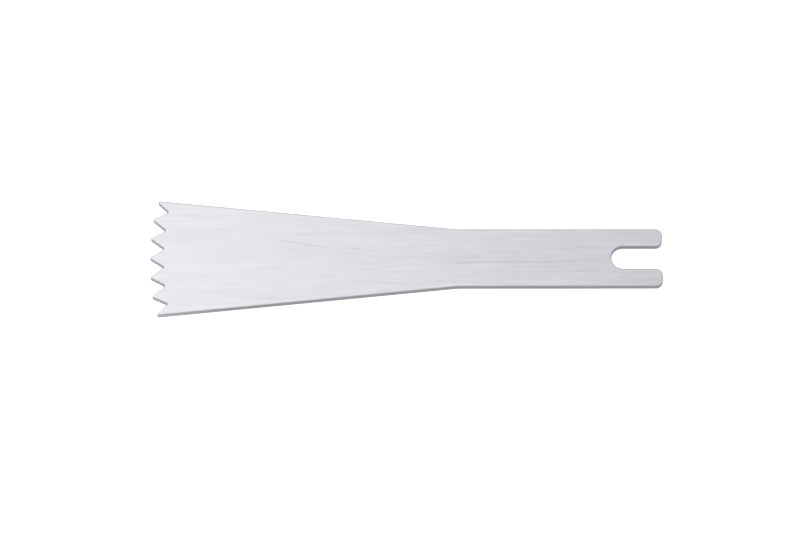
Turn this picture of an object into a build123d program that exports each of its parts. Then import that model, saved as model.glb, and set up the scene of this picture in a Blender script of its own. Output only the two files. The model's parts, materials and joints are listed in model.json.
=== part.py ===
"""Toothed comb blade of a clay modelling tool, in millimetres.

The blade is one blank of stainless sheet. Its parallel shank runs along +X and ends in two prongs, one each
side of an open slot that slides under a clamp screw. From its shoulders the blade flares towards -X and ends
in a row of pointed teeth, which fan out on an arc centred midway between the shoulders. All corners are
rounded and all edges are broken, as tumbling leaves them.

The blank lies flat on Z = 0 with its centreline along X, and the origin is the middle of its underside.
"""

import os
from math import cos, degrees, radians, sin

from build123d import *

# Blank
LENGTH = 100.0
THICKNESS = 1.5
EDGE_RADIUS = 0.25  # on the edges of both faces

# Shank
SHANK_WIDTH = 12.0
SHANK_LENGTH = 40.0  # from the ends of the prongs to the shoulders
SHOULDER_RADIUS = 15.0  # blends the shank's sides into the flare's

# Open slot, a medium fit on an M4 clamp screw
SLOT_WIDTH = 4.5
SLOT_DEPTH = 10.0  # to the far side of its round end
PRONG_CORNER_RADIUS = 1.35

# Teeth
TOOTH_COUNT = 7
TOOTH_PITCH = 4.0  # along the arc of the crests
GROOVE_ANGLE = 68.0  # degrees, between the flanks of a groove
CREST_ROUNDING = 0.3
ROOT_ROUNDING = 0.15

# Places along the centreline
PRONG_END = LENGTH / 2
SHOULDER = PRONG_END - SHANK_LENGTH  # also the centre of the fan of teeth

# Fan of teeth. A tooth's flanks meet at its apex, which the rounding takes back to the arc of the crests.
CREST_RADIUS = LENGTH - SHANK_LENGTH
TOOTH_STEP = degrees(TOOTH_PITCH / CREST_RADIUS)
GROOVE_HALF_ANGLE = radians(GROOVE_ANGLE / 2)
TOOTH_HALF_ANGLE = GROOVE_HALF_ANGLE - radians(TOOTH_STEP / 2)
APEX_RADIUS = CREST_RADIUS + CREST_ROUNDING * (1 / sin(TOOTH_HALF_ANGLE) - 1)
ROOT_RADIUS = APEX_RADIUS * sin(TOOTH_HALF_ANGLE) / sin(GROOVE_HALF_ANGLE)


def fan_point(radius, steps):
    """Point at a radius of the fan, a number of tooth steps from the centreline towards +Y."""
    angle = radians(steps * TOOTH_STEP)
    return (SHOULDER - radius * cos(angle), radius * sin(angle))


# Apex, root, apex and so on, from the corner of the flare at +Y to the one at -Y.
tooth_line = []
for half_step in range(2 * TOOTH_COUNT - 1):
    corner_radius = ROOT_RADIUS if half_step % 2 else APEX_RADIUS
    tooth_line.append(fan_point(corner_radius, (TOOTH_COUNT - 1 - half_step) / 2))

with BuildPart() as comb_blade:
    with BuildSketch(Plane.XY) as blank:
        with BuildLine():
            Polyline(
                (PRONG_END, SHANK_WIDTH / 2),
                (SHOULDER, SHANK_WIDTH / 2),
                *tooth_line,
                (SHOULDER, -SHANK_WIDTH / 2),
                (PRONG_END, -SHANK_WIDTH / 2),
                close=True,
            )
        make_face()

        # Half of this slot lies past the prongs, which leaves them an open one.
        with Locations((PRONG_END, 0)):
            SlotCenterToCenter(2 * SLOT_DEPTH - SLOT_WIDTH, SLOT_WIDTH, mode=Mode.SUBTRACT)

        # The corners of the tooth line are the furthest from the fan's centre, with the apexes last.
        outward = blank.vertices().sort_by_distance((SHOULDER, 0))
        apexes = outward[-TOOTH_COUNT:]
        roots = outward[1 - 2 * TOOTH_COUNT : -TOOTH_COUNT]
        shoulders = blank.vertices().filter_by_position(Axis.X, SHOULDER - EDGE_RADIUS, SHOULDER + EDGE_RADIUS)
        prong_corners = blank.vertices().group_by(Axis.X)[-1]
        fillet(apexes, CREST_ROUNDING)
        fillet(roots, ROOT_ROUNDING)
        fillet(shoulders, SHOULDER_RADIUS)
        fillet(prong_corners, PRONG_CORNER_RADIUS)
    extrude(amount=THICKNESS)

    fillet(comb_blade.faces().filter_by(Axis.Z).edges(), EDGE_RADIUS)

comb_blade.part.label = "comb_blade"

os.makedirs("parts", exist_ok=True)
export_step(comb_blade.part, "parts/comb_blade.step")
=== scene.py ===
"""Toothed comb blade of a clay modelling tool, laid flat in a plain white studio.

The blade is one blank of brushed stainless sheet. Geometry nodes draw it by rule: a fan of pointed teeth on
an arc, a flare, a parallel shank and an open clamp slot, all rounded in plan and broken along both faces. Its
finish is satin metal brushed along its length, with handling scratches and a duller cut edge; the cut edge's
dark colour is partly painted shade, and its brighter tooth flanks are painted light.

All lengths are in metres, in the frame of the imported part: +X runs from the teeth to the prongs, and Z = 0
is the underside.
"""

from __future__ import annotations

import json
import logging
import math
from dataclasses import dataclass, field
from enum import Enum
from typing import ClassVar

import bpy
from mathutils import Matrix, Vector


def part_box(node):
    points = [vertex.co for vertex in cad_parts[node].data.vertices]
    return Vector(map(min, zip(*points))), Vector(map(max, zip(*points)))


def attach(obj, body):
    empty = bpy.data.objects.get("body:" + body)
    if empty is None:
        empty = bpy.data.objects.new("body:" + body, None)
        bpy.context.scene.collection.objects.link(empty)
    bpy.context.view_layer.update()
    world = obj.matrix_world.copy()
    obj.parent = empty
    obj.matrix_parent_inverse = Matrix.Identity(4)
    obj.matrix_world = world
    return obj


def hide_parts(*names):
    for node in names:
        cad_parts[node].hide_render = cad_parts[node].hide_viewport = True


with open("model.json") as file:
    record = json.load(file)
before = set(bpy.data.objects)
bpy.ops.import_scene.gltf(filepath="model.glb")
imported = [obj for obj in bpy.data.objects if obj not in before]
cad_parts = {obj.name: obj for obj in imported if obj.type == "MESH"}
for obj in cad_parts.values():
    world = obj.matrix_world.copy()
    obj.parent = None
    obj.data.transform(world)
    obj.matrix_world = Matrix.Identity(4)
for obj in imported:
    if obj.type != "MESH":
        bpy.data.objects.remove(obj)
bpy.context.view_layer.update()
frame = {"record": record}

LOG = logging.getLogger("comb_blade")
MM = 0.001

Operand = bpy.types.NodeSocket | float
Spot = tuple[Operand, Operand, Operand]
Point = tuple[float, float, float]
Colour = tuple[float, float, float]
Span = tuple[float, float]

WHITE: Colour = (1.0, 1.0, 1.0)
OPAQUE = 1.0
NOISE_MIDDLE = 0.5  # average of a noise texture
QUARTER_TURN = 0.25  # in whole turns
HALF = 0.5  # sets a test between one whole number and the next


class Body(Enum):
    """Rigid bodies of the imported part."""

    ROOT = "root"


class CadNode(Enum):
    """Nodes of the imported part."""

    COMB_BLADE = "comb_blade"


class Slot(Enum):
    """Material slots of the record."""

    BRUSHED_SHEET = "brushed_sheet"


class Layer(Enum):
    """Attributes that the blade's mesh carries for its finish."""

    GRAIN_MAP = "grain_map"
    CUT_EDGE = "cut_edge"


class TreeBuilder:
    """Adds nodes to one node tree and wires them as it goes."""

    def __init__(self, tree: bpy.types.NodeTree) -> None:
        """Start on a tree.

        Args:
            tree: The geometry or shader tree to fill.
        """
        self.tree = tree

    def add(
        self, kind: str, inputs: dict[str | int, object] | None = None, **properties: object
    ) -> bpy.types.Node:
        """Add a node, set its properties, and set or link its inputs.

        Args:
            kind: Blender's name for the node's type.
            inputs: Input name or position, to a socket to link or a value to set.
            **properties: Properties of the node itself.

        Returns:
            The new node.
        """
        node = self.tree.nodes.new(kind)
        for name, value in properties.items():
            setattr(node, name, value)
        for key, value in (inputs or {}).items():
            self.feed(node.inputs[key], value)
        return node

    def feed(self, socket: bpy.types.NodeSocket, value: object) -> None:
        """Link a socket to an input, or set the input's own value.

        Args:
            socket: The input.
            value: A socket to link, or a value to set.
        """
        if isinstance(value, bpy.types.NodeSocket):
            self.tree.links.new(value, socket)
        else:
            socket.default_value = value

    def math(self, operation: str, *operands: Operand) -> bpy.types.NodeSocket:
        """Work out one scalar from others.

        Args:
            operation: The math node's operation.
            *operands: Sockets or numbers, in the node's order.

        Returns:
            The result.
        """
        return self.add("ShaderNodeMath", dict(enumerate(operands)), operation=operation).outputs[0]

    def vector(self, x: Operand, y: Operand, z: Operand) -> bpy.types.NodeSocket:
        """Join three scalars into a vector.

        Args:
            x: First component.
            y: Second component.
            z: Third component.

        Returns:
            The vector.
        """
        return self.add("ShaderNodeCombineXYZ", {0: x, 1: y, 2: z}).outputs[0]

    def split(self, vector: bpy.types.NodeSocket) -> tuple[bpy.types.NodeSocket, ...]:
        """Split a vector.

        Args:
            vector: The vector.

        Returns:
            Its three components.
        """
        return tuple(self.add("ShaderNodeSeparateXYZ", {0: vector}).outputs)

    def ramp(self, value: Operand, span: Span, results: Span = (0.0, 1.0)) -> bpy.types.NodeSocket:
        """Map a scalar smoothly from one range to another, held at both ends.

        Args:
            value: The scalar.
            span: Where the change starts and where it ends.
            results: Result at each of the two.

        Returns:
            The mapped scalar.
        """
        start, end = span
        low, high = results
        settings = {"Value": value, "From Min": start, "From Max": end, "To Min": low, "To Max": high}
        return self.add("ShaderNodeMapRange", settings, interpolation_type="SMOOTHSTEP").outputs[0]

    def blend(self, share: Operand, first: Operand, second: Operand) -> bpy.types.NodeSocket:
        """Mix two scalars, or choose between them by a test of 0 or 1.

        Args:
            share: How much of the second, from 0 to 1.
            first: Result where the share is 0.
            second: Result where the share is 1.

        Returns:
            The mixed scalar.
        """
        return self.add("ShaderNodeMix", {0: share, 2: first, 3: second}, data_type="FLOAT").outputs[0]

    def scale(self, vector: bpy.types.NodeSocket | Colour, factor: Operand) -> bpy.types.NodeSocket:
        """Multiply a vector or a colour by a scalar.

        Args:
            vector: The vector or colour.
            factor: The scalar.

        Returns:
            The scaled vector.
        """
        return self.add("ShaderNodeVectorMath", {0: vector, "Scale": factor}, operation="SCALE").outputs[0]


class RuleTree(TreeBuilder):
    """A geometry tree with named inputs, and the fields that its rules are written in."""

    def __init__(self, name: str) -> None:
        """Start an empty tree that gives out one geometry.

        Args:
            name: Name of the node group.
        """
        super().__init__(bpy.data.node_groups.new(name, "GeometryNodeTree"))
        self.identifiers: dict[str, str] = {}
        self.values: dict[str, object] = {}
        self.tree.interface.new_socket("Geometry", in_out="OUTPUT", socket_type="NodeSocketGeometry")
        self.source = self.tree.nodes.new("NodeGroupInput")
        self.sink = self.tree.nodes.new("NodeGroupOutput")

    def ask(self, name: str, value: object, kind: str = "NodeSocketFloat") -> bpy.types.NodeSocket:
        """Declare a named input of the tree.

        Args:
            name: The input's name.
            value: What the modifier sets it to.
            kind: Socket type of the input.

        Returns:
            The input, inside the tree.
        """
        item = self.tree.interface.new_socket(name, in_out="INPUT", socket_type=kind)
        self.identifiers[name] = item.identifier
        self.values[name] = value
        return self.source.outputs[name]

    def pick(self, index: bpy.types.NodeSocket, *choices: Operand) -> bpy.types.NodeSocket:
        """Choose a scalar by its number.

        Args:
            index: Which choice, from 0.
            *choices: Sockets or numbers.

        Returns:
            The chosen scalar.
        """
        node = self.add("GeometryNodeIndexSwitch", data_type="FLOAT")
        while len(node.index_switch_items) < len(choices):
            node.index_switch_items.new()
        self.feed(node.inputs[0], index)
        for place, choice in enumerate(choices, start=1):
            self.feed(node.inputs[place], choice)
        return node.outputs[0]

    def place(self, curve: bpy.types.NodeSocket, position: bpy.types.NodeSocket) -> bpy.types.NodeSocket:
        """Move the points of a geometry to a field of positions.

        Args:
            curve: The geometry.
            position: Where each point goes.

        Returns:
            The moved geometry.
        """
        return self.add("GeometryNodeSetPosition", {"Geometry": curve, "Position": position}).outputs[0]

    def store(
        self, geometry: bpy.types.NodeSocket, layer: Layer, value: Operand, **where: str
    ) -> bpy.types.NodeSocket:
        """Keep a field on the geometry under a name.

        Args:
            geometry: What to keep it on.
            layer: The attribute.
            value: The field.
            **where: Domain and data type of the attribute.

        Returns:
            The geometry with the attribute.
        """
        settings = {"Geometry": geometry, "Name": layer.value}
        node = self.add("GeometryNodeStoreNamedAttribute", settings, **where)
        self.feed(next(s for s in node.inputs if s.name == "Value" and s.enabled), value)
        return node.outputs[0]

    def line(self, count: Operand) -> bpy.types.NodeSocket:
        """Make an open curve of loose points, for a rule to place.

        Args:
            count: How many points.

        Returns:
            The curve.
        """
        mesh = self.add("GeometryNodeMeshLine", {"Count": count})
        return self.add("GeometryNodeMeshToCurve", {"Mesh": mesh.outputs[0]}).outputs[0]

    def index(self) -> bpy.types.NodeSocket:
        """Give each point's number, from 0."""
        return self.add("GeometryNodeInputIndex").outputs[0]

    def finish(self, geometry: bpy.types.NodeSocket, material: bpy.types.NodeSocket) -> None:
        """End the tree in real, dressed geometry.

        Args:
            geometry: What the tree has made.
            material: The finish that it wears.
        """
        real = self.add("GeometryNodeRealizeInstances", {"Geometry": geometry})
        dressed = self.add("GeometryNodeSetMaterial", {"Geometry": real.outputs[0], "Material": material})
        self.tree.links.new(dressed.outputs[0], self.sink.inputs[0])

    def grow(self, name: str) -> bpy.types.Object:
        """Run the tree once and keep its result as a plain mesh.

        Args:
            name: Name of the piece.

        Returns:
            The piece, at the origin, with no modifier.
        """
        piece = bpy.data.objects.new(name, bpy.data.meshes.new(name))
        bpy.context.scene.collection.objects.link(piece)
        modifier = piece.modifiers.new("rule", "NODES")
        modifier.node_group = self.tree
        for label, value in self.values.items():
            modifier[self.identifiers[label]] = value
        depsgraph = bpy.context.evaluated_depsgraph_get()
        grown = bpy.data.meshes.new_from_object(
            piece.evaluated_get(depsgraph), preserve_all_data_layers=True, depsgraph=depsgraph
        )
        piece.modifiers.remove(modifier)
        piece.data = grown
        grown.name = name
        return piece


class FinishTree(TreeBuilder):
    """A material's tree, with the noises that a brushed finish is written in."""

    def noise(self, spot: Spot, sizes: Point, detail: float = 1.0) -> bpy.types.NodeSocket:
        """Make stretched noise.

        Args:
            spot: Coordinates of the point.
            sizes: Size of a fleck along each of them.
            detail: Octaves of the noise.

        Returns:
            The noise, about 0.5 on average.
        """
        scaled = [self.math("DIVIDE", part, size) for part, size in zip(spot, sizes)]
        settings = {"Vector": self.vector(*scaled), "Scale": 1.0, "Detail": detail}
        return self.add("ShaderNodeTexNoise", settings).outputs[0]

    def mottle(self, noises: list[bpy.types.NodeSocket], shares: list[float]) -> bpy.types.NodeSocket:
        """Add up noises about their middle, each by its own share.

        Args:
            noises: The noises.
            shares: The share of each.

        Returns:
            The sum, about 0 on average.
        """
        total: Operand = 0.0
        for noise, share in zip(noises, shares):
            centred = self.math("SUBTRACT", noise, NOISE_MIDDLE)
            total = self.math("MULTIPLY_ADD", centred, share, total)
        return total


@dataclass(frozen=True)
class Scratch:
    """One long handling mark on the faces.

    Args:
        start: Its end nearer the teeth, along and across the blade.
        length: How long it is.
        angle: Its slant from the length of the blade, in degrees.
        depth: How strongly it darkens the metal, from 0 to 1.
        width: From its middle line to where it has faded out at the side.
        bow: How far it wanders to either side.
    """

    start: tuple[float, float]
    length: float
    angle: float
    depth: float
    width: float = 0.16 * MM
    bow: float = 0.12 * MM

    full_width: ClassVar[float] = 0.25  # share of the width that is at full depth
    full_length: ClassVar[float] = 0.25  # share of the length at full depth, each side of its middle

    def mark(
        self, tree: FinishTree, along: bpy.types.NodeSocket, across: bpy.types.NodeSocket
    ) -> bpy.types.NodeSocket:
        """Draw the mark.

        Args:
            tree: The shader tree.
            along: Place along the blade.
            across: Place across it.

        Returns:
            How deep the mark is at a point, from 0 to its depth.
        """
        turn = math.radians(self.angle)
        cosine = math.cos(turn)
        sine = math.sin(turn)
        u = tree.math("SUBTRACT", along, self.start[0])
        v = tree.math("SUBTRACT", across, self.start[1])
        run = tree.math("ADD", tree.math("MULTIPLY", u, cosine), tree.math("MULTIPLY", v, sine))
        off = tree.math("SUBTRACT", tree.math("MULTIPLY", v, cosine), tree.math("MULTIPLY", u, sine))
        wave = tree.math("SINE", tree.math("MULTIPLY", run, 2 * math.pi / self.length))
        side = tree.math("ABSOLUTE", tree.math("SUBTRACT", off, tree.math("MULTIPLY", wave, self.bow)))
        core = tree.ramp(side, (self.full_width * self.width, self.width), (1.0, 0.0))
        middle = tree.math("ABSOLUTE", tree.math("SUBTRACT", run, self.length / 2))
        ends = tree.ramp(middle, (self.full_length * self.length, self.length / 2), (self.depth, 0.0))
        return tree.math("MULTIPLY", core, ends)


@dataclass(frozen=True)
class Brushing:
    """One layer of brush marks, as noise drawn out along the blade.

    Args:
        length: Of a mark.
        width: Of a mark.
        tone: How far it lightens or darkens the metal.
        polish: How far it makes the metal smoother or rougher.
        relief: How deep it is cut, as a share of the bump's height.
    """

    length: float
    width: float
    tone: float
    polish: float
    relief: float


@dataclass(frozen=True)
class Look:
    """What one kind of surface gives the shader.

    Args:
        colour: Its colour.
        roughness: Its roughness.
        relief: Its height, as a share of the bump's.
    """

    colour: bpy.types.NodeSocket
    roughness: bpy.types.NodeSocket
    relief: bpy.types.NodeSocket


@dataclass(frozen=True)
class BrushedSteel:
    """Satin stainless sheet, brushed along its length, with a duller cut edge darkened by painted shade, and
    painted light on the teeth's flanks.

    Args:
        name: Of the material.
        face_colour: Of the brushed faces.
        edge_colour_with_painted_shade: Of the cut edge, darkened by painted shade beyond what its duller
            finish gives.
        roughness: Of the faces, on average.
        edge_roughness: Of the cut edge, at its smoothest.
        anisotropy: How far the brushing stretches a reflection.
        brushings: Layers of brush marks, from the finest to the broadest.
        mark_depth: Size of a brush mark through the sheet.
        flare_share: How far the brush lines follow the flare, from 0 to 1.
        cloud_size: Size of the faint clouding along, across and through the blade.
        cloud_tone: How far the clouding lightens or darkens the metal.
        wear_span: Where along the blade the brushing starts to stand out more, and where it stops.
        wear: How strongly the brushing shows at each of the two.
        striation_size: Size of the cutting tool's marks along, across and through the blade.
        striation_detail: Octaves of their noise.
        striation_tone: How far they lighten or darken the cut edge.
        striation_polish: How far they roughen it.
        striation_relief: How deep they are, as a share of the bump's height.
        painted_flank_light_span: Where along the blade the painted light on the flanks of the teeth fades
            into the duller sides.
        painted_flank_light_gain: How many times as bright the painted light makes the flanks.
        cut_span: How far round the broken edge the cut finish starts, and where it is full.
        bump_strength: How strongly the relief tilts the surface, from 0 to 1.
        bump_height: Height of a relief of 1.
        scratches: Handling marks.
    """

    name: str = "brushed_stainless"
    face_colour: Colour = (0.802, 0.807, 0.826)
    # Painted shade: the cut edge's colour is set darker than its duller finish alone would make it, standing
    # in for the shade on the cut walls.
    edge_colour_with_painted_shade: Colour = (0.325, 0.32, 0.325)
    roughness: float = 0.36
    edge_roughness: float = 0.5
    anisotropy: float = 0.55
    brushings: tuple[Brushing, ...] = (
        Brushing(length=5 * MM, width=0.13 * MM, tone=0.066, polish=0.055, relief=0.5),
        Brushing(length=9 * MM, width=0.32 * MM, tone=0.080, polish=0.062, relief=0.6),
        Brushing(length=24 * MM, width=0.9 * MM, tone=0.022, polish=0.022, relief=0.3),
    )
    mark_depth: float = 1 * MM
    flare_share: float = 0.45
    cloud_size: Point = (16.2 * MM, 9 * MM, 4 * MM)
    cloud_tone: float = 0.012
    wear_span: Span = (-30 * MM, 40 * MM)
    wear: Span = (0.84, 1.68)
    striation_size: Point = (0.13 * MM, 0.13 * MM, 1.2 * MM)
    striation_detail: float = 2.0
    striation_tone: float = 0.5
    striation_polish: float = 0.15
    striation_relief: float = 0.8
    # Painted light: the cut edge is painted brighter on the teeth's flanks than along the sides.
    painted_flank_light_span: Span = (-47 * MM, -34 * MM)
    painted_flank_light_gain: float = 1.35
    # cut_span: How far round the broken edge the cut finish and its painted shade start, and where they are
    # full.
    cut_span: Span = (0.45, 1.0)
    bump_strength: float = 0.35
    bump_height: float = 0.02 * MM
    scratches: tuple[Scratch, ...] = (
        Scratch((-26.8 * MM, 3.8 * MM), 13.5 * MM, -7.8, depth=0.14),
        Scratch((-12.5 * MM, 2.0 * MM), 8 * MM, -5.0, depth=0.12),
        Scratch((3.0 * MM, -1.5 * MM), 37 * MM, 1.9, width=0.30 * MM, bow=0.2 * MM, depth=0.085),
        Scratch((-12 * MM, -4.8 * MM), 13 * MM, -1.3, width=0.22 * MM, depth=0.07),
        Scratch((-36.4 * MM, -7.9 * MM), 14 * MM, -2.4, width=0.25 * MM, depth=0.045),
        Scratch((-12 * MM, -1.2 * MM), 9 * MM, 0.5, width=0.25 * MM, depth=0.05),
        Scratch((-4 * MM, 1.2 * MM), 12 * MM, -1.0, width=0.22 * MM, depth=0.05),
        Scratch((14 * MM, 1.0 * MM), 13 * MM, 0.8, width=0.22 * MM, depth=0.055),
        Scratch((19 * MM, 3.3 * MM), 15 * MM, 0.2, width=0.25 * MM, depth=0.04),
        Scratch((12 * MM, -2.9 * MM), 17 * MM, 0.4, width=0.22 * MM, depth=0.04),
        Scratch((40 * MM, -4.2 * MM), 7 * MM, 3.0, width=0.35 * MM, depth=0.05),
    )

    def face_look(self, tree: FinishTree, spot: Spot, drawn: Operand) -> Look:
        """Finish the brushed faces.

        Args:
            tree: The shader tree.
            spot: The point, along, across and through the blade.
            drawn: Its place across the brush lines.

        Returns:
            The faces' look.
        """
        along, across, up = spot
        sizes = [(layer.length, layer.width, self.mark_depth) for layer in self.brushings]
        marks = [tree.noise((along, drawn, up), size) for size in sizes]
        cloud = tree.noise(spot, self.cloud_size)
        scored: Operand = 0.0
        for scratch in self.scratches:
            scored = tree.math("MAXIMUM", scored, scratch.mark(tree, along, across))

        # The shank is handled and clamped more, so its brushing stands out more.
        wear = tree.ramp(along, self.wear_span, self.wear)
        tones = [layer.tone for layer in self.brushings]
        tone = tree.math("MULTIPLY", tree.mottle([*marks, cloud], [*tones, self.cloud_tone]), wear)
        lightness = tree.math("SUBTRACT", tree.math("ADD", tone, 1.0), scored)

        # Where the brush cut deeper the metal is both rougher and darker.
        polish = tree.math("MULTIPLY", tree.mottle(marks, [layer.polish for layer in self.brushings]), wear)
        lines = tree.mottle(marks, [layer.relief for layer in self.brushings])
        return Look(
            colour=tree.scale(self.face_colour, lightness),
            roughness=tree.math("SUBTRACT", self.roughness, polish),
            relief=tree.math("SUBTRACT", lines, scored),
        )

    def edge_look(self, tree: FinishTree, spot: Spot) -> Look:
        """Finish the cut edge, dark with painted shade, and with painted light making it brighter on the
        flanks of the teeth than along the sides.

        Args:
            tree: The shader tree.
            spot: The point, along, across and through the blade.

        Returns:
            The edge's look.
        """
        striation = tree.noise(spot, self.striation_size, self.striation_detail)
        darkest = 1.0 - NOISE_MIDDLE * self.striation_tone
        light = tree.math("MULTIPLY_ADD", striation, self.striation_tone, darkest)
        # Painted light: brighten the edge colour towards the teeth, standing in for light falling on their
        # flanks.
        painted_flank_light = tree.ramp(spot[0], self.painted_flank_light_span, (self.painted_flank_light_gain, 1.0))
        return Look(
            colour=tree.scale(self.edge_colour_with_painted_shade, tree.math("MULTIPLY", light, painted_flank_light)),
            roughness=tree.math("MULTIPLY_ADD", striation, self.striation_polish, self.edge_roughness),
            relief=tree.math("MULTIPLY", striation, self.striation_relief),
        )

    def material(self, taper: float, shoulder: float, half_width: float) -> bpy.types.Material:
        """Mix the finish.

        Args:
            taper: How fast the blade's half width grows from the shoulders to the teeth.
            shoulder: Where the flare starts, along the blade.
            half_width: Half the width of the shank.

        Returns:
            The material.
        """
        material = bpy.data.materials.new(self.name)
        material.use_nodes = True
        material.node_tree.nodes.clear()
        tree = FinishTree(material.node_tree)
        spot = tree.split(tree.add("ShaderNodeTexCoord").outputs["Object"])

        # The brush follows the flare a little, so its lines draw together towards the shank.
        flare = tree.math("MAXIMUM", tree.math("SUBTRACT", shoulder, spot[0]), 0.0)
        spread = tree.math("MULTIPLY_ADD", flare, self.flare_share * taper / half_width, 1.0)
        face = self.face_look(tree, spot, tree.math("DIVIDE", spot[1], spread))
        edge = self.edge_look(tree, spot)

        round_edge = tree.add("ShaderNodeAttribute", attribute_name=Layer.CUT_EDGE.value).outputs["Fac"]
        cut = tree.ramp(round_edge, self.cut_span)
        # Painted shade and light: the edge colour mixed in here carries painted shade on the cut walls and
        # painted light on the teeth's flanks.
        colours = {0: cut, 6: face.colour, 7: edge.colour}
        relief = tree.blend(cut, face.relief, edge.relief)
        bump = {"Height": relief, "Strength": self.bump_strength, "Distance": self.bump_height}
        tangent = tree.add("ShaderNodeTangent", direction_type="UV_MAP", uv_map=Layer.GRAIN_MAP.value)
        surface = {
            "Base Color": tree.add("ShaderNodeMix", colours, data_type="RGBA").outputs[2],
            "Metallic": 1.0,
            "Roughness": tree.blend(cut, face.roughness, edge.roughness),
            "Anisotropic": self.anisotropy,
            "Anisotropic Rotation": QUARTER_TURN,
            "Normal": tree.add("ShaderNodeBump", bump).outputs[0],
            "Tangent": tangent.outputs[0],
        }
        shader = tree.add("ShaderNodeBsdfPrincipled", surface)
        tree.add("ShaderNodeOutputMaterial", {"Surface": shader.outputs[0]})
        return material


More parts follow.
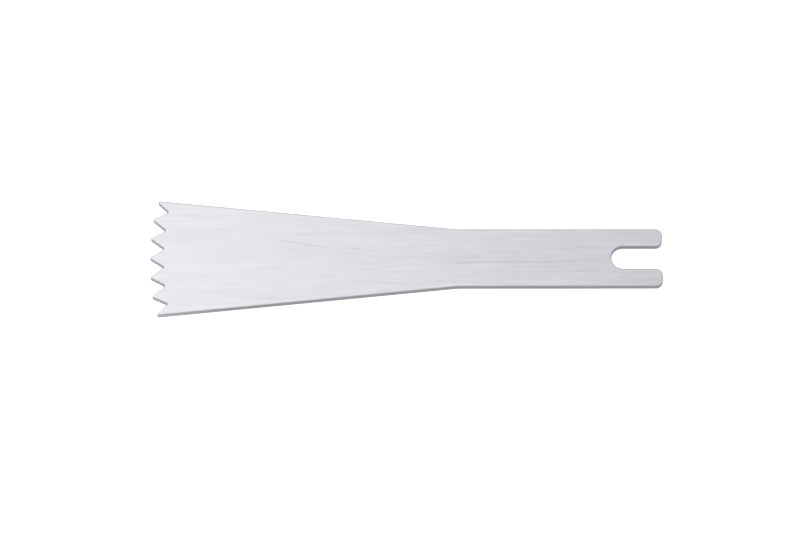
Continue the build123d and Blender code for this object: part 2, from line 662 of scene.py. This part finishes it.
@dataclass(frozen=True)
class CombBlade:
    """The blade: one flat blank with a fan of teeth, a flare, a shank and an open clamp slot.

    Args:
        length: From the middle tooth's tip to the ends of the prongs.
        thickness: Of the sheet.
        slot_width: Between the prongs.
        slot_depth: From the prongs' ends to the far side of the slot's round end.
        edge_radius: On the edges of both faces.
        shank_width: Of the parallel shank.
        shank_length: From the ends of the prongs to the shoulders.
        shoulder_radius: Between the shank's sides and the flare's.
        prong_corner_radius: On the prongs' corners, in plan.
        tooth_count: How many teeth.
        tooth_pitch: Between teeth, along the arc of their crests.
        groove_angle: Between the flanks of a groove.
        crest_rounding: On the teeth, in plan.
        root_rounding: In the grooves, in plan.
        corner_facets: Facets of each rounded corner of the outline.
        edge_facets: Facets of each broken edge.
        longest_facet: Of the straight stretches of the outline.
        weld: How near points are to be made one.
        finish: What the blade wears.
    """

    length: float
    thickness: float
    slot_width: float
    slot_depth: float
    edge_radius: float
    shank_width: float = 12 * MM
    shank_length: float = 40 * MM
    shoulder_radius: float = 15 * MM
    prong_corner_radius: float = 1.35 * MM
    tooth_count: int = 7
    tooth_pitch: float = 4 * MM
    groove_angle: float = math.radians(68)
    crest_rounding: float = 0.3 * MM
    root_rounding: float = 0.15 * MM
    corner_facets: int = 16
    edge_facets: int = 8
    longest_facet: float = 1.5 * MM
    weld: float = 0.0005 * MM
    finish: BrushedSteel = field(default_factory=BrushedSteel)

    shank_corners: ClassVar[int] = 8  # shoulder, two of the prong and the slot's end, on each side

    @classmethod
    def from_frame(cls, record: dict) -> CombBlade:
        """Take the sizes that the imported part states, and keep the design's own for the rest.

        Args:
            record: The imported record.

        Returns:
            The blade.
        """
        low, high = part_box(CadNode.COMB_BLADE.value)
        seat = next(mount for mount in record["mounts"] if mount["name"] == "screw_seat")
        slot_radius = seat["dims"]["r_mm"] * MM
        thickness = high.z - low.z
        return cls(
            length=high.x - low.x,
            thickness=thickness,
            slot_width=2 * slot_radius,
            slot_depth=high.x - seat["pos_m"][0] + slot_radius,
            edge_radius=(thickness - seat["dims"]["length_mm"] * MM) / 2,
        )

    @property
    def shoulder(self) -> float:
        """Where the flare starts along X, which is also the centre of the fan of teeth."""
        return self.length / 2 - self.shank_length

    @property
    def taper(self) -> float:
        """How fast the half width grows from the shoulders towards the teeth."""
        reach = self.length - self.shank_length
        spread = (self.tooth_count - 1) / 2 * self.tooth_pitch / reach
        return (reach * math.sin(spread) - self.shank_width / 2) / (reach * math.cos(spread))

    def fan(
        self, tree: RuleTree, index: Operand, last_apex: Operand, shoulder: Operand, crest_radius: Operand
    ) -> Spot:
        """Place the corners of the teeth, apex and root in turn, from +Y to -Y.

        A tooth's flanks meet at its apex, which the rounding takes back to the arc of the crests.

        Args:
            tree: The blade's tree.
            index: The corner's number, from 0.
            last_apex: Number of the last tooth's apex.
            shoulder: Centre of the fan, along X.
            crest_radius: Of the arc of the crests.

        Returns:
            The corner's X, its Y and its rounding.
        """
        groove_half = tree.math("DIVIDE", tree.ask("Groove Angle", self.groove_angle), 2)
        crest_rounding = tree.ask("Crest Rounding", self.crest_rounding)
        root_rounding = tree.ask("Root Rounding", self.root_rounding)
        step = tree.math("DIVIDE", tree.ask("Tooth Pitch", self.tooth_pitch), crest_radius)
        tooth_half = tree.math("SUBTRACT", groove_half, tree.math("DIVIDE", step, 2))
        tooth_half_sine = tree.math("SINE", tooth_half)
        set_back = tree.math("SUBTRACT", tree.math("DIVIDE", 1.0, tooth_half_sine), 1.0)
        apex_radius = tree.math("MULTIPLY_ADD", crest_rounding, set_back, crest_radius)
        narrowing = tree.math("DIVIDE", tooth_half_sine, tree.math("SINE", groove_half))
        root_radius = tree.math("MULTIPLY", apex_radius, narrowing)

        is_root = tree.math("MODULO", index, 2.0)
        reach = tree.blend(is_root, apex_radius, root_radius)
        half_steps = tree.math("SUBTRACT", tree.math("DIVIDE", last_apex, 2), index)
        angle = tree.math("MULTIPLY", tree.math("DIVIDE", half_steps, 2), step)
        x = tree.math("SUBTRACT", shoulder, tree.math("MULTIPLY", reach, tree.math("COSINE", angle)))
        y = tree.math("MULTIPLY", reach, tree.math("SINE", angle))
        return x, y, tree.blend(is_root, crest_rounding, root_rounding)

    def shank(self, tree: RuleTree, number: Operand, shoulder: Operand, prong_end: Operand) -> Spot:
        """Place the shank's corners, four of the -Y side and then the same four of the +Y side in reverse.

        Args:
            tree: The blade's tree.
            number: The corner's number, from 0 at the shoulder of the -Y side.
            shoulder: Where the flare starts, along X.
            prong_end: Where the prongs end, along X.

        Returns:
            The corner's X, its Y and its rounding.
        """
        half_shank = tree.math("DIVIDE", tree.ask("Shank Width", self.shank_width), 2)
        half_slot = tree.math("DIVIDE", tree.ask("Slot Width", self.slot_width), 2)
        slot_end = tree.math("SUBTRACT", prong_end, tree.ask("Slot Depth", self.slot_depth))
        shoulder_radius = tree.ask("Shoulder Radius", self.shoulder_radius)
        prong_radius = tree.ask("Prong Corner Radius", self.prong_corner_radius)

        returning = tree.math("GREATER_THAN", number, self.shank_corners / 2 - HALF)
        mirrored = tree.math("SUBTRACT", self.shank_corners - 1.0, number)
        corner = tree.blend(returning, number, mirrored)
        side = tree.math("MULTIPLY_ADD", returning, 2.0, -1.0)
        x = tree.pick(corner, shoulder, prong_end, prong_end, slot_end)
        half_width = tree.pick(corner, half_shank, half_shank, half_slot, half_slot)
        rounding = tree.pick(corner, shoulder_radius, prong_radius, prong_radius, half_slot)
        return x, tree.math("MULTIPLY", side, half_width), rounding

    def corners(self, tree: RuleTree) -> bpy.types.NodeSocket:
        """Place the corners of the outline, first the teeth's and then the shank's, and round them.

        Args:
            tree: The blade's tree.

        Returns:
            The outline, closed and counterclockwise from above.
        """
        length = tree.ask("Length", self.length)
        shank_length = tree.ask("Shank Length", self.shank_length)
        teeth = tree.ask("Tooth Count", self.tooth_count, "NodeSocketInt")
        corner_facets = tree.ask("Corner Facets", self.corner_facets, "NodeSocketInt")
        prong_end = tree.math("DIVIDE", length, 2)
        shoulder = tree.math("SUBTRACT", prong_end, shank_length)
        crest_radius = tree.math("SUBTRACT", length, shank_length)

        index = tree.index()
        last_apex = tree.math("SUBTRACT", tree.math("MULTIPLY", teeth, 2.0), 2.0)
        number = tree.math("SUBTRACT", tree.math("SUBTRACT", index, last_apex), 1.0)
        on_fan = self.fan(tree, index, last_apex, shoulder, crest_radius)
        on_shank = self.shank(tree, number, shoulder, prong_end)
        past_teeth = tree.math("GREATER_THAN", number, -HALF)
        x, y, rounding = (tree.blend(past_teeth, *pair) for pair in zip(on_fan, on_shank))

        loose = tree.line(tree.math("ADD", last_apex, self.shank_corners + 1.0))
        placed = tree.place(loose, tree.vector(x, y, 0.0))
        closed = tree.add("GeometryNodeSetSplineCyclic", {"Geometry": placed, "Cyclic": True}).outputs[0]
        settings = {"Curve": closed, "Count": corner_facets, "Radius": rounding}
        return tree.add("GeometryNodeFilletCurve", settings, mode="POLY").outputs[0]

    def outline(self, tree: RuleTree) -> bpy.types.NodeSocket:
        """Cut the straight stretches of the outline into short facets.

        Args:
            tree: The blade's tree.

        Returns:
            The outline, with its normals pointing out of the blade.
        """
        curve = self.corners(tree)
        longest = tree.ask("Longest Facet", self.longest_facet)
        size = tree.add("GeometryNodeAttributeDomainSize", {"Geometry": curve}, component="CURVE")
        following = tree.math("MODULO", tree.math("ADD", tree.index(), 1.0), size.outputs["Point Count"])
        here = tree.add("GeometryNodeInputPosition").outputs[0]
        settings = {"Index": following, "Value": here}
        there = tree.add("GeometryNodeFieldAtIndex", settings, data_type="FLOAT_VECTOR", domain="POINT")
        ends = {0: here, 1: there.outputs[0]}
        gap = tree.add("ShaderNodeVectorMath", ends, operation="DISTANCE").outputs["Value"]
        cuts = tree.math("FLOOR", tree.math("DIVIDE", gap, longest))
        faceted = tree.add("GeometryNodeSubdivideCurve", {"Curve": curve, "Cuts": cuts}).outputs[0]
        return tree.add("GeometryNodeSetCurveNormal", {"Curve": faceted}, mode="Z_UP").outputs[0]

    def edge_section(self, tree: RuleTree, thickness: Operand, radius: Operand) -> bpy.types.NodeSocket:
        """Draw the section of the blade's edge, from the rim of the upper face to that of the lower one.

        Its points know how far round the edge they are: 0 at both rims, 1 on the cut wall between.

        Args:
            tree: The blade's tree.
            thickness: Of the sheet.
            radius: Of the broken edges.

        Returns:
            The section, with the height in -Y and the way into the blade in -X.
        """
        facets = tree.ask("Edge Facets", self.edge_facets, "NodeSocketInt")
        index = tree.index()
        last = tree.math("MULTIPLY_ADD", facets, 2.0, 1.0)
        lower = tree.math("GREATER_THAN", index, tree.math("ADD", facets, HALF))
        step = tree.blend(lower, index, tree.math("SUBTRACT", last, index))
        turn = tree.math("MULTIPLY", tree.math("DIVIDE", step, facets), math.pi / 2)
        inset = tree.math("MULTIPLY", radius, tree.math("SUBTRACT", tree.math("SINE", turn), 1.0))
        drop = tree.math("MULTIPLY", radius, tree.math("SUBTRACT", 1.0, tree.math("COSINE", turn)))
        depth = tree.blend(lower, tree.math("SUBTRACT", drop, thickness), tree.math("MULTIPLY", drop, -1.0))
        section = tree.place(tree.line(tree.math("ADD", last, 1.0)), tree.vector(inset, depth, 0.0))
        round_edge = tree.math("SINE", turn)
        return tree.store(section, Layer.CUT_EDGE, round_edge, data_type="FLOAT", domain="POINT")

    def edge_band(
        self, tree: RuleTree, outline: bpy.types.NodeSocket, section: bpy.types.NodeSocket
    ) -> bpy.types.NodeSocket:
        """Sweep the edge's section round the outline, with the grain map running along it.

        Args:
            tree: The blade's tree.
            outline: The outline.
            section: The edge's section.

        Returns:
            The band, smooth.
        """
        rail = tree.add("GeometryNodeCaptureAttribute", {"Geometry": outline}, domain="POINT")
        rail.capture_items.new("FLOAT", "Along")
        tree.feed(rail.inputs["Along"], tree.add("GeometryNodeSplineParameter").outputs["Length"])
        settings = {"Curve": rail.outputs["Geometry"], "Profile Curve": section}
        band = tree.add("GeometryNodeCurveToMesh", settings).outputs[0]
        height = tree.split(tree.add("GeometryNodeInputPosition").outputs[0])[2]
        grain = tree.vector(rail.outputs["Along"], height, 0.0)
        return tree.store(band, Layer.GRAIN_MAP, grain, data_type="FLOAT2", domain="CORNER")

    def face(
        self, tree: RuleTree, outline: bpy.types.NodeSocket, height: Operand, radius: Operand
    ) -> bpy.types.NodeSocket:
        """Fill one flat face inside the rim of its broken edge, with the grain map along the blade.

        Args:
            tree: The blade's tree.
            outline: The outline.
            height: Of the face.
            radius: Of the broken edge.

        Returns:
            The face, flat.
        """
        outward = tree.add("GeometryNodeInputNormal").outputs[0]
        inset = tree.scale(outward, tree.math("MULTIPLY", radius, -1.0))
        rim = tree.add("GeometryNodeSetPosition", {"Geometry": outline, "Offset": inset}).outputs[0]
        filled = tree.add("GeometryNodeFillCurve", {"Curve": rim}, mode="TRIANGLES").outputs[0]
        lift = {"Geometry": filled, "Offset": tree.vector(0.0, 0.0, height)}
        raised = tree.add("GeometryNodeSetPosition", lift).outputs[0]
        shading = {"Geometry": raised, "Shade Smooth": False}
        flat = tree.add("GeometryNodeSetShadeSmooth", shading).outputs[0]
        inside = tree.store(flat, Layer.CUT_EDGE, 0.0, data_type="FLOAT", domain="POINT")
        grain = tree.add("GeometryNodeInputPosition").outputs[0]
        return tree.store(inside, Layer.GRAIN_MAP, grain, data_type="FLOAT2", domain="CORNER")

    def build(self) -> bpy.types.Object:
        """Draw the blade by its rule and dress it.

        Returns:
            The blade, as a plain closed mesh.
        """
        tree = RuleTree("comb_blade_rule")
        thickness = tree.ask("Thickness", self.thickness)
        radius = tree.ask("Edge Radius", self.edge_radius)
        outline = self.outline(tree)
        band = self.edge_band(tree, outline, self.edge_section(tree, thickness, radius))
        upper = self.face(tree, outline, thickness, radius)
        lower = self.face(tree, outline, 0.0, radius)
        turned = tree.add("GeometryNodeFlipFaces", {"Mesh": lower}).outputs[0]
        parts = tree.add("GeometryNodeJoinGeometry")
        for part in (turned, upper, band):
            tree.feed(parts.inputs[0], part)
        settings = {"Geometry": parts.outputs[0], "Distance": tree.ask("Weld", self.weld)}
        welded = tree.add("GeometryNodeMergeByDistance", settings).outputs[0]
        dressing = self.finish.material(self.taper, self.shoulder, self.shank_width / 2)
        tree.finish(welded, tree.ask("Finish", dressing, "NodeSocketMaterial"))
        return tree.grow("comb_blade_sheet")

    def mount(self) -> bpy.types.Object:
        """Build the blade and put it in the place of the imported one.

        Returns:
            The blade.
        """
        blade = self.build()
        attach(blade, Body.ROOT.value)
        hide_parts(CadNode.COMB_BLADE.value)
        return blade


@dataclass(frozen=True)
class Softbox:
    """A flat studio light that faces the blade.

    Args:
        name: Of the light.
        place: Of its middle.
        size: Its width and height.
        power: In watts.
        colour: Of its light.
    """

    name: str
    place: Point
    size: tuple[float, float]
    power: float
    colour: Colour = WHITE

    def hang(self) -> bpy.types.Object:
        """Make the light.

        Returns:
            The light, unseen by the camera.
        """
        data = bpy.data.lights.new(self.name, "AREA")
        data.shape = "RECTANGLE"
        data.size, data.size_y = self.size
        data.energy = self.power
        data.color = self.colour
        light = bpy.data.objects.new(self.name, data)
        bpy.context.scene.collection.objects.link(light)
        light.location = self.place
        light.rotation_euler = (-Vector(self.place)).to_track_quat("-Z", "Y").to_euler()
        light.visible_camera = False
        return light


@dataclass(frozen=True)
class Studio:
    """A pale table in a white room, lit by softboxes.

    Args:
        table_size: Of the square table.
        table_gap: Between the table and the blade's underside, so that the two surfaces stay apart.
        table_colour: Of the table.
        table_roughness: Of the table.
        table_glow: How brightly the table is lit from within.
        room_colour: Of the room's light.
        zenith: The room's brightness overhead.
        horizon: The room's brightness at the horizon and below.
        softboxes: The lights.
    """

    table_size: float = 6.0
    table_gap: float = 0.02 * MM
    table_colour: Colour = (0.86, 0.86, 0.86)
    table_roughness: float = 0.9
    table_glow: float = 0.8
    room_colour: Colour = (0.955, 0.97, 1.065)
    zenith: float = 0.50
    horizon: float = 0.40
    softboxes: tuple[Softbox, ...] = (
        Softbox("left_softbox", (-0.45, 0.35, 0.90), (0.9, 1.2), 3.25, (1.0, 0.985, 0.93)),
    )

    def table(self) -> bpy.types.Object:
        """Lay the table just under the blade.

        Returns:
            The table.
        """
        half = self.table_size / 2
        corners = [(-half, -half), (half, -half), (half, half), (-half, half)]
        mesh = bpy.data.meshes.new("table")
        mesh.from_pydata([(x, y, -self.table_gap) for x, y in corners], [], [(0, 1, 2, 3)])
        material = bpy.data.materials.new("matt_white_table")
        material.use_nodes = True
        material.node_tree.nodes.clear()
        tree = TreeBuilder(material.node_tree)
        surface = {
            "Base Color": (*self.table_colour, OPAQUE),
            "Roughness": self.table_roughness,
            "Emission Color": (*WHITE, OPAQUE),
            "Emission Strength": self.table_glow,
        }
        matt = tree.add("ShaderNodeBsdfPrincipled", surface)
        clear = tree.add("ShaderNodeBsdfTransparent")

        # From below the table is clear, so that the underside of the blade can be looked at.
        from_below = tree.add("ShaderNodeNewGeometry").outputs["Backfacing"]
        sides = {0: from_below, 1: matt.outputs[0], 2: clear.outputs[0]}
        mixed = tree.add("ShaderNodeMixShader", sides)
        tree.add("ShaderNodeOutputMaterial", {"Surface": mixed.outputs[0]})
        mesh.materials.append(material)
        table = bpy.data.objects.new("table", mesh)
        bpy.context.scene.collection.objects.link(table)
        return table

    def room(self) -> bpy.types.World:
        """Light the room evenly, brighter overhead than at the horizon.

        Returns:
            The world.
        """
        world = bpy.data.worlds.new("white_room")
        world.use_nodes = True
        world.node_tree.nodes.clear()
        tree = TreeBuilder(world.node_tree)
        height = tree.split(tree.add("ShaderNodeTexCoord").outputs["Generated"])[2]
        strength = tree.ramp(height, (0.0, 1.0), (self.horizon, self.zenith))
        settings = {"Color": (*self.room_colour, OPAQUE), "Strength": strength}
        background = tree.add("ShaderNodeBackground", settings)
        tree.add("ShaderNodeOutputWorld", {"Surface": background.outputs[0]})
        bpy.context.scene.world = world
        return world

    def build(self) -> list[bpy.types.Object]:
        """Set up the table, the room and the lights.

        Returns:
            The table and the lights.
        """
        self.room()
        return [self.table(), *(box.hang() for box in self.softboxes)]


@dataclass(frozen=True)
class Viewpoint:
    """A camera on a long lens, looking down at the blade from the front.

    Args:
        azimuth: Round the blade, from the front towards +X.
        elevation: Above the table.
        roll: Counterclockwise, as seen from behind the camera.
        distance: From what it looks at.
        lens: Focal length, in millimetres.
        sensor: Width of the sensor, in millimetres.
        aim: What it looks at.
        nearest: The nearest that it sees.
        furthest: The furthest that it sees.
    """

    azimuth: float = math.radians(-1.66)
    elevation: float = math.radians(70.0)
    roll: float = math.radians(1.51)
    distance: float = 1.03
    lens: float = 237.5
    sensor: float = 36.0
    aim: Point = (-1.26 * MM, -1.55 * MM, 0.75 * MM)
    nearest: float = 0.01
    furthest: float = 100.0

    def build(self) -> bpy.types.Object:
        """Set up the camera and the way it records white.

        Returns:
            The camera.
        """
        data = bpy.data.cameras.new("camera")
        data.lens = self.lens
        data.sensor_width = self.sensor
        data.clip_start = self.nearest
        data.clip_end = self.furthest
        camera = bpy.data.objects.new("camera", data)
        scene = bpy.context.scene
        scene.collection.objects.link(camera)
        level = math.cos(self.elevation)
        sideways = math.sin(self.azimuth) * level
        forwards = -math.cos(self.azimuth) * level
        back = Vector((sideways, forwards, math.sin(self.elevation)))
        facing = (-back).to_track_quat("-Z", "Y").to_matrix().to_4x4()
        place = Matrix.Translation(Vector(self.aim) + back * self.distance)
        camera.matrix_world = place @ facing @ Matrix.Rotation(self.roll, 4, "Z")
        scene.camera = camera
        scene.view_settings.view_transform = "Standard"
        return camera


def main() -> None:
    """Build the blade, the studio and the camera."""
    logging.basicConfig(level=logging.INFO, format="%(name)s: %(message)s")
    blade = CombBlade.from_frame(frame["record"]).mount()
    LOG.info("%s: %d faces", blade.name, len(blade.data.polygons))
    for stand in Studio().build():
        LOG.info("%s", stand.name)
    LOG.info("%s", Viewpoint().build().name)


if __name__ == "__main__":
    main()
